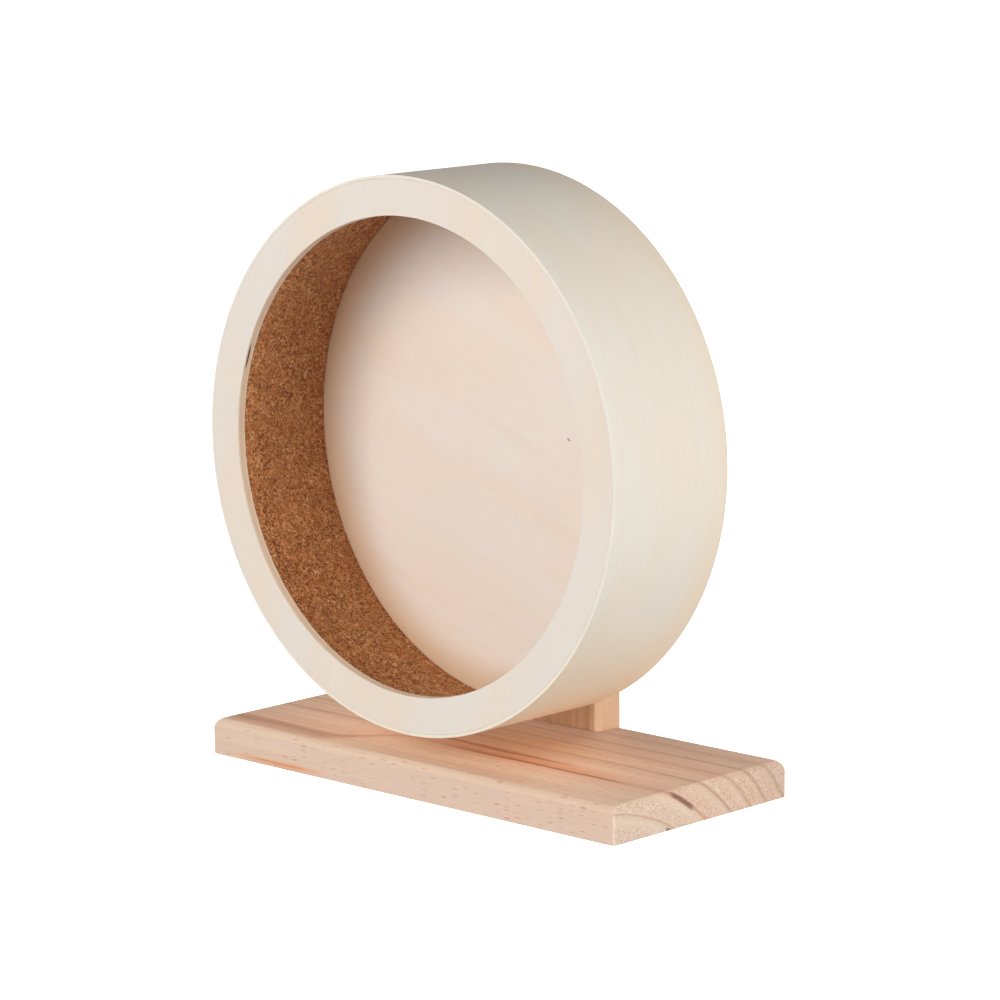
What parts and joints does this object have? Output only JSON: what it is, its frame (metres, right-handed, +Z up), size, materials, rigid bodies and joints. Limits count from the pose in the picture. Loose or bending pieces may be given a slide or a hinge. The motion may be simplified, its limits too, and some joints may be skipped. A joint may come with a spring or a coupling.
{
  "type": "small pet running wheel",
  "caption": "Open-fronted plywood running wheel with a cork lining, turning on ball bearings in an upright on a flat pine base board.",
  "frame": {"origin": "middle of the base board's underside", "axes": "+Z up, X along the board's length, the axle along Y with the drum's open side facing -Y"},
  "size_m": [0.282, 0.14, 0.312],
  "materials": {
    "pine": "planed and sanded, unvarnished",
    "birch_plywood": "fine sanded, unvarnished",
    "cork": "pressed granules, matt",
    "beech_dowel": "matt",
    "zinc_steel": "bright zinc plated",
    "bearing_steel": "ground and polished",
    "nylon": "matt"
  },
  "bodies": {
    "stand": {"base_board": "pine", "upright_post": "pine", "post_dowel_left": "beech_dowel", "post_dowel_right": "beech_dowel", "post_screw_left": "zinc_steel", "post_screw_right": "zinc_steel", "front_outer_race": "bearing_steel", "front_shield_outward": "bearing_steel", "front_shield_inward": "bearing_steel", "rear_outer_race": "bearing_steel", "rear_shield_outward": "bearing_steel", "rear_shield_inward": "bearing_steel"},
    "wheel": {"rim_shell": "birch_plywood", "front_ring": "birch_plywood", "cork_lining": "cork", "back_disc": "birch_plywood", "hub_block": "pine", "hub_screw_1": "zinc_steel", "hub_screw_2": "zinc_steel", "hub_screw_3": "zinc_steel", "hub_screw_4": "zinc_steel", "axle_bolt": "zinc_steel", "thin_lock_nut": "zinc_steel", "front_race_washer": "zinc_steel", "front_inner_race": "bearing_steel", "inner_race_spacer": "zinc_steel", "rear_inner_race": "bearing_steel", "rear_race_washer": "zinc_steel", "stop_nut": "zinc_steel", "stop_nut_nylon_ring": "nylon"},
    "front_cage": {"front_ball_cage": "nylon", "front_ball_1": "bearing_steel", "front_ball_2": "bearing_steel", "front_ball_3": "bearing_steel", "front_ball_4": "bearing_steel", "front_ball_5": "bearing_steel", "front_ball_6": "bearing_steel", "front_ball_7": "bearing_steel"},
    "rear_cage": {"rear_ball_cage": "nylon", "rear_ball_1": "bearing_steel", "rear_ball_2": "bearing_steel", "rear_ball_3": "bearing_steel", "rear_ball_4": "bearing_steel", "rear_ball_5": "bearing_steel", "rear_ball_6": "bearing_steel", "rear_ball_7": "bearing_steel"}
  },
  "joints": [
    {"name": "wheel_spin", "type": "hinge", "parent": "stand", "child": "wheel", "pos_m": [0, 0, 0.172], "axis": [0, 1, 0], "continuous": true},
    {"name": "front_cage_spin", "type": "hinge", "parent": "stand", "child": "front_cage", "pos_m": [0, 0.0488, 0.172], "axis": [0, 1, 0], "continuous": true},
    {"name": "rear_cage_spin", "type": "hinge", "parent": "stand", "child": "rear_cage", "pos_m": [0, 0.0608, 0.172], "axis": [0, 1, 0], "continuous": true}
  ],
  "couplings": [
    {"joint": "front_cage_spin", "follows": "wheel_spin", "ratio": 0.3677},
    {"joint": "rear_cage_spin", "follows": "wheel_spin", "ratio": 0.3677}
  ]
}
